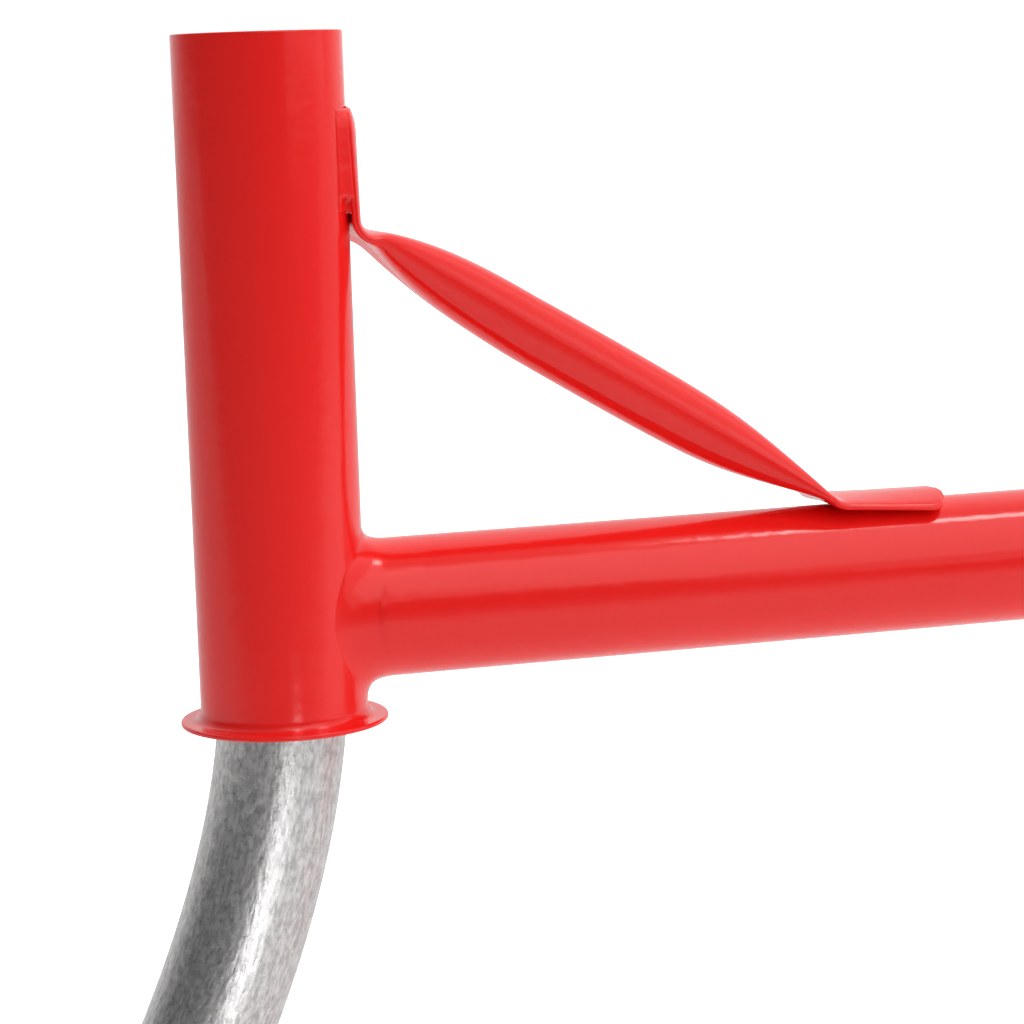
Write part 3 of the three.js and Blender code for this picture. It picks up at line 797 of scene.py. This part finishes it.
def ring_bead(name, centre, axis, ring_r, radius, body, slot, seed):
    """A weld bead all the way round a tube."""
    across, up = frame_of(axis)
    steps = 180
    path = []
    for i in range(steps):
        turn = 2 * math.pi * i / steps
        out = across * math.cos(turn) + up * math.sin(turn)
        path.append((Vector(centre) + out * ring_r, out, Vector(axis)))
    bead(name, path, radius, body, slot, ripple=0.10, pitch=2.6, seed=seed)


def link(first, first_r, second, second_r, steps=24):
    """The outline round two circles in a plane."""
    (xa, ya), (xb, yb) = first, second
    along = math.atan2(yb - ya, xb - xa)
    tangent = math.acos((first_r - second_r) / math.hypot(xb - xa, yb - ya))
    outline = []
    for (x, y), radius, begin, end in (
            (first, first_r, along + tangent, along - tangent + 2 * math.pi),
            (second, second_r, along - tangent, along + tangent)):
        for i in range(steps + 1):
            turn = begin + (end - begin) * i / steps
            outline.append((x + radius * math.cos(turn), y + radius * math.sin(turn)))
    return outline


def plain(corners, steps=5):
    """A rounded outline as plain (x, y) pairs."""
    return [(p.x, p.y) for p in rounded(corners, steps)]


def make_rear_frame():
    turned("rear_cross_skin", [
        (MAIN_R - MAIN_WALL, -CROSS_HALF, 0.4), (MAIN_R, -CROSS_HALF, 0.4),
        (MAIN_R, CROSS_HALF, 0.4), (MAIN_R - MAIN_WALL, CROSS_HALF, 0.4),
    ], (CROSS_X, 0, CROSS_Z), Y, "frame", "red_paint", ["rear_cross_tube"])
    saddle_fillet("rear_fillet", MAIN_R, MAIN_R,
                  lambda p: Vector((CROSS_X - p.x, p.z, CROSS_Z + p.y)),
                  lambda side: (7.6, 6.6 - 3.2 * side ** 2), "frame", "red_paint",
                  ["rear_weld"], seed=5)
    front = CROSS_X - MAIN_R - 0.4
    near = MAIN_R + 0.4
    for name, side in SIDES:
        flat_piece("rear_gusset_plate_" + name, plain([
            (front - 54, near, 1), (front - 9.4, near, 2), (front, near + 8.9, 2), (front, 78, 1),
            (front - 5, 78, 3), (front - 54, near + 5, 3)]), [], 4,
            (0, 0, CROSS_Z - 2 * side), X, Y * side, "frame", "red_paint",
            ["rear_gusset_" + name])
        for face, way in (("top", 1), ("under", -1)):
            line_bead(f"rear_gusset_bead_{name}_{face}",
                      (front - 53, side * (near + 0.1), CROSS_Z + way * 3),
                      (front - 11, side * (near + 0.1), CROSS_Z + way * 3), (0, side, way), 1.7,
                      "frame", "red_paint", seed=6 + way)
            line_bead(f"cross_gusset_bead_{name}_{face}",
                      (front - 0.1, side * (near + 11), CROSS_Z + way * 3),
                      (front - 0.1, side * 77, CROSS_Z + way * 3), (-1, 0, way), 1.7,
                      "frame", "red_paint", seed=8 + way)


def make_hangers():
    low, high = cad("axle_hanger_right")
    thick = high.y - low.y
    for name, side in SIDES:
        flat_piece("axle_hanger_plate_" + name,
                   link((CROSS_X, CROSS_Z), 27, (REAR_X, REAR_Z), 25),
                   [(REAR_X, REAR_Z, 16.8), (CROSS_X, CROSS_Z, 7)], thick,
                   (0, high.y if side > 0 else -low.y, 0), X, Z, "frame", "red_paint",
                   ["axle_hanger_" + name], edge=0.7)
        ring_bead("cross_end_bead_" + name, (CROSS_X, side * (CROSS_HALF - 1.0), CROSS_Z), Y,
                  MAIN_R + 0.9, 2.1, "frame", "red_paint", seed=10 + side)
        turned("axle_bush_skin_" + name, [
            (AXLE_R + 0.3, 149.3, 0.5), (16.5, 149.3, 0.4), (16.5, 156.6, 0), (21, 156.6, 0.5),
            (21, 159.6, 0.8), (AXLE_R + 0.3, 159.6, 0.6),
        ], (REAR_X, 0, REAR_Z), Y * side, "frame", "polymer", ["axle_bush_" + name])


def make_seat_bracket():
    low, high = cad("seat_bracket")
    sheet = 4
    middle = (low.x + high.x) / 2
    length, half = high.x - low.x, high.y
    corner = 6
    outline = plain([(-length / 2, -half, corner), (length / 2, -half, corner),
                     (length / 2, half, corner), (-length / 2, half, corner)])
    holes = [(x, y, 4.2) for x in (-28, 28) for y in (-46, 46)]
    flat_piece("seat_bracket_top", outline, holes, sheet, (middle, 0, high.z - sheet), X, Y,
               "frame", "red_paint", ["seat_bracket"], edge=0.6)
    leg_y = MAIN_R + 0.5
    for name, side in SIDES:
        leg = plain([(-length / 2, low.z, 5), (length / 2, low.z, 5),
                     (length / 2, high.z - sheet, 0), (-length / 2, high.z - sheet, 0)])
        place = leg_y + sheet if side > 0 else -leg_y
        flat_piece("seat_bracket_leg_" + name, leg, [], sheet, (middle, place, 0), X, Z,
                   "frame", "red_paint", edge=0.5)
        line_bead("seat_leg_bead_" + name,
                  (middle - length / 2 + 2, side * (leg_y + sheet + 0.8), high.z - sheet - 0.8),
                  (middle + length / 2 - 2, side * (leg_y + sheet + 0.8), high.z - sheet - 0.8),
                  (0, side, -1), 1.6, "frame", "red_paint", seed=13 + side)
        line_bead("seat_tube_bead_" + name,
                  (middle - length / 2 + 5, side * (leg_y - 0.2), low.z - 0.4),
                  (middle + length / 2 - 5, side * (leg_y - 0.2), low.z - 0.4),
                  (0, side, -1), 1.7, "frame", "red_paint", seed=15 + side)


# ---- Steering stem and front axle beam

def stem_stations():
    """Down the straight of the stem, then round its bend, which tightens at first and eases off."""
    stations = straight_stations(Vector((0, 0, STEM_TOP)), Vector((0, 0, STEM_BEND_Z)), 20)
    place = Vector((0, 0, STEM_BEND_Z))
    fine, every, step = 0.25, 10, 0
    lean = 0.0
    while place.z > AXLE_Z:
        if step % every == 0:
            stations.append((place.copy(), Vector((-math.sin(lean), 0, -math.cos(lean)))))
        step += 1
        lean = STEM_BEND_LIMIT * (1 - math.exp(-step * fine / STEM_BEND_LENGTH))
        place += Vector((-math.sin(lean), 0, -math.cos(lean))) * fine
    return stations, lean


STEM_LINE, STEM_LEAN = stem_stations()
STEM_UP = Vector((math.sin(STEM_LEAN), 0, math.cos(STEM_LEAN)))


def make_stem():
    count = 144
    groove_low, groove_high = cad("stem_circlip")

    def ring(place, along, radius):
        turned_out = min(1.0, max(0.0, (STEM_BEND_Z - place.z) / 30))
        return oval(place, Y, along.cross(Y), count, radius, radius - STEM_FLATTENED * turned_out)

    def level(z, radius):
        return ring(Vector((0, 0, z)), -Z, radius)

    def coped(row):
        """The last row, slid up the stem until it stands just inside the beam's wall."""
        depth = MAIN_R - 0.6
        side = STEM_UP.cross(Y)
        reach = [(p - BEAM_CENTRE).dot(side) for p in row]
        return [BEAM_CENTRE + side * r + Y * p.y
                + STEM_UP * math.sqrt(max(depth ** 2 - r ** 2, 0)) for p, r in zip(row, reach)]

    bore = STEM_R - STEM_WALL
    line = [(place, along) for place, along in STEM_LINE[1:]
            if (place - BEAM_CENTRE).length > MAIN_R + 3]
    outer = [level(STEM_TOP, STEM_R - 0.6), level(STEM_TOP - 0.2, STEM_R - 0.15),
             level(STEM_TOP - 0.7, STEM_R)]
    for z, radius in ((groove_high.z + 0.3, STEM_R), (groove_high.z + 0.25, STEM_R - 0.8),
                      (groove_low.z - 0.25, STEM_R - 0.8), (groove_low.z - 0.3, STEM_R)):
        outer.append(level(z, radius))
    outer += [ring(place, along, STEM_R) for place, along in line if place.z < groove_low.z - 1]
    outer.append(coped(outer[-1]))
    inner = [ring(place, along, bore) for place, along in line]
    inner.append(coped(inner[-1]))
    inner = inner[::-1] + [level(STEM_TOP - 0.5, bore), level(STEM_TOP, bore + 0.5)]
    skin("steering_stem_skin", outer + inner, "steering", "bare_steel", ["steering_stem"])


def make_front_beam():
    turned("front_beam_skin", [
        (MAIN_R - MAIN_WALL, -BEAM_HALF, 0.4), (MAIN_R, -BEAM_HALF, 0.4),
        (MAIN_R, BEAM_HALF, 0.4), (MAIN_R - MAIN_WALL, BEAM_HALF, 0.4),
    ], BEAM_CENTRE, Y, "steering", "bare_steel", ["front_beam"])
    side = Y.cross(STEM_UP)
    saddle_fillet("stem_fillet", MAIN_R, STEM_R,
                  lambda p: BEAM_CENTRE + STEM_UP * p.x + side * p.y + Y * p.z,
                  lambda away: (6.4, 6.2 - 3.0 * away ** 2), "steering", "bare_steel",
                  ["stem_weld"], seed=17, rough=0.5)
    seat = MAIN_R + 0.4
    for name, way in SIDES:
        across = Y * way
        through = across.cross(STEM_UP)
        flat_piece("front_gusset_plate_" + name, plain([
            (29, seat, 1), (88, seat, 1), (88, seat + 6, 3), (28, 78, 3), (20.7, 78, 1),
            (20.7, 31, 2)]), [], 4, BEAM_CENTRE - through * 2, across, STEM_UP,
            "steering", "bare_steel", ["front_gusset_" + name])
        for face in (1, -1):
            shift = through * (3 * face)
            line_bead(f"beam_gusset_bead_{name}_{face + 1}",
                      BEAM_CENTRE + across * 30 + STEM_UP * seat + shift,
                      BEAM_CENTRE + across * 87 + STEM_UP * seat + shift,
                      STEM_UP + through * face, 1.7, "steering", "bare_steel", seed=18 + face)
            line_bead(f"stem_gusset_bead_{name}_{face + 1}",
                      BEAM_CENTRE + across * 20.6 + STEM_UP * 33 + shift,
                      BEAM_CENTRE + across * 20.6 + STEM_UP * 77 + shift,
                      across + through * face, 1.7, "steering", "bare_steel", seed=20 + face)


# ---- Wheel spindles

SPINDLE_R = 8.5
THREAD_FROM = BEAM_HALF + 38
THREAD_PITCH = 1.5
NUT_FROM = BEAM_HALF + 47
NUT_FLATS = 24


def make_spindle(name, side):
    """A shouldered spindle with a rolled thread out to its chamfered end."""
    count = 72
    axis = Y * side
    across, up = frame_of(axis)
    end = BEAM_HALF + 65
    shoulder = BEAM_HALF + 6.6
    plain_part = [(BEAM_HALF - 35, 0.02), (BEAM_HALF - 35, 7.5), (BEAM_HALF - 34, SPINDLE_R),
                  (shoulder - 0.05, SPINDLE_R), (shoulder, SPINDLE_R + 0.1),
                  (shoulder, SPINDLE_R + 2.5), (shoulder + 0.5, SPINDLE_R + 3),
                  (shoulder + 3.5, SPINDLE_R + 3), (shoulder + 4, SPINDLE_R + 2.5),
                  (shoulder + 4, SPINDLE_R + 0.6), (shoulder + 4.5, SPINDLE_R),
                  (THREAD_FROM - 1, SPINDLE_R), (THREAD_FROM - 0.3, SPINDLE_R - 0.6)]
    rows = []
    for height, radius in plain_part:
        rows.append(oval(BEAM_CENTRE + axis * height, across, up, count, radius))
    height = THREAD_FROM
    while height < end - 0.15:
        row = []
        for i in range(count):
            turn = i / count
            phase = (height / THREAD_PITCH - turn) % 1
            ridge = abs(2 * phase - 1)
            fade = min(1.0, (height - THREAD_FROM) / 1.5, (end - height) / 1.0)
            top = SPINDLE_R - 0.15 - 1.9 * max(0.0, 1 - (end - height) / 2) ** 1.5
            radius = top - 0.85 * (1 - ridge) * fade
            angle = 2 * math.pi * turn
            row.append(spoke(BEAM_CENTRE + axis * height, across, up, angle, radius))
        rows.append(row)
        height += THREAD_PITCH / 6
    for height, radius in ((end - 0.05, SPINDLE_R - 2.2), (end, SPINDLE_R - 2.8), (end, 0.02)):
        rows.append(oval(BEAM_CENTRE + axis * height, across, up, count, radius))
    skin("spindle_skin_" + name, rows, "steering", "zinc_steel", ["spindle_" + name],
         closed=False, flats=True)


def make_nut(name, side):
    """A hexagon nut, its corners turned down at both ends and its bore countersunk."""
    count = 144
    axis = Y * side
    across, up = frame_of(axis)
    bore = SPINDLE_R - 0.6
    thick = 10
    flat = NUT_FLATS / 2

    def ring(height, limit):
        row = []
        for i in range(count):
            turn = 2 * math.pi * i / count
            off = (turn % (math.pi / 3)) - math.pi / 6
            radius = min(flat / math.cos(off), limit)
            row.append(spoke(BEAM_CENTRE + axis * (NUT_FROM + height), across, up, turn, radius))
        return row

    corner = flat / math.cos(math.pi / 6)
    rows = [ring(0, bore + 1.2), ring(0, flat - 0.4), ring(0.25, flat)]
    for k in range(1, 6):
        rows.append(ring(0.25 + (corner - flat) * 0.58 * k / 5, flat + (corner - flat) * k / 5))
    for k in range(5, -1, -1):
        rows.append(ring(thick - 0.25 - (corner - flat) * 0.58 * k / 5,
                         flat + (corner - flat) * k / 5))
    rows += [ring(thick, flat - 0.4), ring(thick, bore + 1.2), ring(thick - 1.2, bore),
             ring(1.2, bore)]
    skin("spindle_nut_skin_" + name, rows, "steering", "zinc_steel", ["spindle_nut_" + name],
         flats=True)


def make_spindles():
    for name, side in SIDES:
        axis = Y * side
        turned("beam_flange_skin_" + name, [
            (SPINDLE_R + 0.3, BEAM_HALF + 0.3, 0.5), (25, BEAM_HALF + 0.3, 0.7),
            (25, BEAM_HALF + 6.3, 0.7), (SPINDLE_R + 0.3, BEAM_HALF + 6.3, 0.5),
        ], BEAM_CENTRE, axis, "steering", "bare_steel", ["beam_flange_" + name])
        ring_bead("flange_bead_" + name, BEAM_CENTRE + axis * (BEAM_HALF - 0.5), Y,
                  MAIN_R + 0.7, 1.7, "steering", "bare_steel", seed=22 + side)
        make_spindle(name, side)
        turned("spindle_washer_skin_" + name, [
            (SPINDLE_R - 0.6, NUT_FROM - 2.8, 0.3), (15, NUT_FROM - 2.8, 0.5),
            (15, NUT_FROM - 0.3, 0.3), (SPINDLE_R - 0.6, NUT_FROM - 0.3, 0.3),
        ], BEAM_CENTRE, axis, "steering", "zinc_steel", ["spindle_washer_" + name])
        make_nut(name, side)


# ---- Rear axle

AXLE_HALF = 280
KEY_MIDDLE = 225
CLIP_AT = 266
COLLAR_AT = 141
COLLAR_R = 20


def bar_rows(width, length, middle, low, high):
    """A round-ended bar along the rear axle, from one height above its centre to another."""
    reach = (length - width) / 2
    outline = link((0, middle - reach), width / 2, (0, middle + reach), width / 2, 12)
    return [[Vector((REAR_X + x, y, REAR_Z + z)) for x, y in outline] for z in (low, high)]


def make_rear_axle():
    corners = [(AXLE_BORE_R, -AXLE_HALF, 0.6), (AXLE_R, -AXLE_HALF, 1)]
    for middle in (-CLIP_AT, CLIP_AT):
        corners += [(AXLE_R, middle - 1, 0.1), (AXLE_R - 0.9, middle - 1, 0.2),
                    (AXLE_R - 0.9, middle + 1, 0.2), (AXLE_R, middle + 1, 0.1)]
    corners += [(AXLE_R, AXLE_HALF, 1), (AXLE_BORE_R, AXLE_HALF, 0.6)]
    axle = turned("rear_axle_skin", corners, REAR_AXLE, Y, "rear_axle", "bare_steel",
                  ["rear_axle"], count=112)
    for name, side in SIDES:
        carve(axle, bar_rows(8, 44, side * KEY_MIDDLE, 9.4, 15))
        outline = [(p.x, p.y) for p in bar_rows(7.4, 43.4, side * KEY_MIDDLE, 0, 0)[0]]
        flat_piece("axle_key_plate_" + name, outline, [], 5.8, (0, 0, REAR_Z + 9.7), X, Y,
                   "rear_axle", "zinc_steel", ["axle_key_" + name], edge=0.4)


def make_collars():
    for name, side in SIDES:
        middle = side * COLLAR_AT
        collar = turned("axle_collar_skin_" + name, [
            (AXLE_R + 0.3, middle - 7, 0.5), (COLLAR_R, middle - 7, 0.9),
            (COLLAR_R, middle + 7, 0.9), (AXLE_R + 0.3, middle + 7, 0.5),
        ], REAR_AXLE, Y, "rear_axle", "zinc_steel", ["axle_collar_" + name])
        centre = Vector((REAR_X, middle, REAR_Z))
        hole = [oval(centre + Z * height, X, Y, 48, 3.3) for height in (10, 24)]
        carve(collar, hole)
        screw_rows = []
        for height, radius in ((12.8, 2.6), (13.2, 3), (19.0, 3), (19.4, 2.6), (19.4, 1.9)):
            screw_rows.append(oval(centre + Z * height, X, Y, 48, radius))
        for height, flat in ((19.4, 1.5), (17.2, 1.5), (16.8, 0.3)):
            row = []
            for i in range(48):
                turn = 2 * math.pi * i / 48
                off = (turn % (math.pi / 3)) - math.pi / 6
                row.append(spoke(centre + Z * height, X, Y, turn, flat / math.cos(off)))
            screw_rows.append(row)
        skin("collar_screw_skin_" + name, screw_rows, "rear_axle", "black_steel",
             ["collar_screw_" + name], closed=False, flats=True)


def circlip_outline(inner, outer):
    """A retaining ring that widens away from its gap, with a lug at each end of the gap."""
    gap, lug = math.radians(24), math.radians(17)
    steps = 72
    outside, inside = [], []
    for i in range(steps + 1):
        turn = gap + (2 * math.pi - 2 * gap) * i / steps
        from_gap = min(turn, 2 * math.pi - turn) - gap
        reach = inner + (outer - inner) * (0.5 + 0.5 * (1 - math.cos(turn)) / 2)
        if from_gap < lug:
            reach = outer
        outside.append((reach * math.cos(turn), reach * math.sin(turn)))
        inside.append((inner * math.cos(turn), inner * math.sin(turn)))
    return outside + inside[::-1]


def make_circlips():
    inner, outer = AXLE_R - 0.6, 15.5
    lug_turn = math.radians(32)
    lug_r = (inner + outer) / 2 + 0.2
    lugs = [(lug_r * math.cos(a), lug_r * math.sin(a), 0.9) for a in (lug_turn, -lug_turn)]
    for name, side in SIDES:
        flat_piece("axle_circlip_plate_" + name, circlip_outline(inner, outer), lugs, 1.2,
                   (REAR_X, side * CLIP_AT + 0.6, REAR_Z), X, Z, "rear_axle", "black_steel",
                   ["axle_circlip_" + name], edge=0.15)


make_head_tube()
make_main_tube()
make_head_fillet()
make_brace()
make_pad_welds()
make_toe_weld()
make_rear_frame()
make_hangers()
make_seat_bracket()
make_stem()
make_front_beam()
make_spindles()
make_rear_axle()
make_collars()
make_circlips()


# ---- Leftover CAD nodes

def dress_cad_nodes():
    """The nodes whose own shape shows keep it and get their slot's material."""
    slots = {sub["node"]: sub["material_slot"] for sub in frame["record"]["subparts"]}
    for name, node in frame["nodes"].items():
        for held in node.material_slots:
            held.material = MATERIALS[slots[name]]


dress_cad_nodes()


# ---- Studio

def make_floor():
    """A pale sheet of floor. It glows an even white to the camera and gives a faint painted glow in
    reflections and bounce light. Its colour is painted shade towards the camera: darker there, so
    that the tubes reflect a dim floor in front of them.
    """
    reach = 30
    corners = [(-reach, -reach, 0), (reach, -reach, 0), (reach, reach, 0), (-reach, reach, 0)]
    mesh = bpy.data.meshes.new("floor")
    mesh.from_pydata(corners, [], [(0, 1, 2, 3)])
    floor = bpy.data.objects.new("floor", mesh)
    bpy.context.collection.objects.link(floor)
    shader = Shader("floor", Roughness=0.9, Emission_Color=(1, 1, 1, 1))
    # Painted shade: the floor's colour runs from 0.95 far off down to 0.22 towards the camera, so
    # that the tubes reflect a darker floor in front of them.
    painted_shade_nearness = shader.node("ShaderNodeVectorMath", {0: shader.place(), 1: (-0.28, -0.96, 0)},
                           operation="DOT_PRODUCT").outputs["Value"]
    fade = shader.node("ShaderNodeMapRange", {"Value": painted_shade_nearness, "From Min": 0.5, "From Max": 1.1})
    shader.link(shader.grey_ramp(fade.outputs["Result"], (0.0, 0.95), (1.0, 0.22)), "Base Color")
    # The floor glows an even white to the camera, and gives a faint painted glow (0.11) in
    # reflections and bounce light.
    seen = shader.node("ShaderNodeLightPath").outputs["Is Camera Ray"]
    shader.link(shader.range(seen, 0.11, 0.95), "Emission Strength")
    mesh.materials.append(shader.material)


def make_world():
    """White behind the chassis as the camera sees it, and a soft room that is bright behind the
    chassis and dim behind the camera."""
    world = bpy.data.worlds.new("studio")
    bpy.context.scene.world = world
    world.use_nodes = True
    tree = world.node_tree
    tree.nodes.clear()

    def node(kind, inputs=(), **settings):
        return add_node(tree, kind, inputs, **settings).outputs

    def ranged(value, low, high, dim, bright):
        return node("ShaderNodeMapRange", {"Value": value, "From Min": low, "From Max": high,
                                           "To Min": dim, "To Max": bright},
                    interpolation_type="SMOOTHSTEP")["Result"]

    place = node("ShaderNodeTexCoord")["Generated"]
    facing = node("ShaderNodeVectorMath", {0: place, 1: (0.35, 0.94, 0)},
                  operation="DOT_PRODUCT")["Value"]
    height = node("ShaderNodeSeparateXYZ", {0: place})["Z"]
    room = ranged(facing, -0.1, 0.85, 0.15, 0.9)
    ceiling = ranged(height, 0.35, 0.85, 0.0, 0.3)
    total = node("ShaderNodeMath", {0: room, 1: ceiling}, operation="ADD")[0]
    white = (1, 1, 1, 1)
    lit = node("ShaderNodeBackground", {"Color": white, "Strength": total})[0]
    backdrop = node("ShaderNodeBackground", {"Color": white, "Strength": 1.05})[0]
    seen = node("ShaderNodeLightPath")["Is Camera Ray"]
    mix = node("ShaderNodeMixShader", {"Fac": seen, 1: lit, 2: backdrop})[0]
    node("ShaderNodeOutputWorld", {"Surface": mix})


def softbox(name, azimuth, elevation, distance, width, height, power, aim=(60, 0, 80),
            spread=180):
    """An area light aimed at a place, by its angle to the right of the camera from there."""
    bearing, height_angle = CAMERA_TURN - math.radians(azimuth), math.radians(elevation)
    out = math.cos(height_angle)
    towards = Vector((-math.sin(bearing) * out, -math.cos(bearing) * out, math.sin(height_angle)))
    data = bpy.data.lights.new(name, "AREA")
    data.shape = "RECTANGLE"
    data.size, data.size_y = width, height
    data.energy = power
    data.spread = math.radians(spread)
    light = bpy.data.objects.new(name, data)
    light.rotation_mode = "QUATERNION"
    light.rotation_quaternion = towards.to_track_quat("Z", "Y")
    light.location = to_row(aim) + towards * distance
    light.visible_camera = False
    bpy.context.collection.objects.link(light)


make_floor()
make_world()
softbox("key", 34, 42, 2.4, 2.4, 2.4, 12)
softbox("side", 72, 34, 2.4, 3.4, 3.0, 23)
softbox("card", 22.5, -10.5, 0.5, 0.115, 0.10, 0.004, aim=(-20, 0, -62), spread=19)
softbox("window_near", 34, 70, 2.4, 0.30, 0.36, 6)
softbox("window_far", 97, 62, 2.4, 0.24, 0.45, 4)
bpy.context.scene.view_settings.view_transform = "Standard"
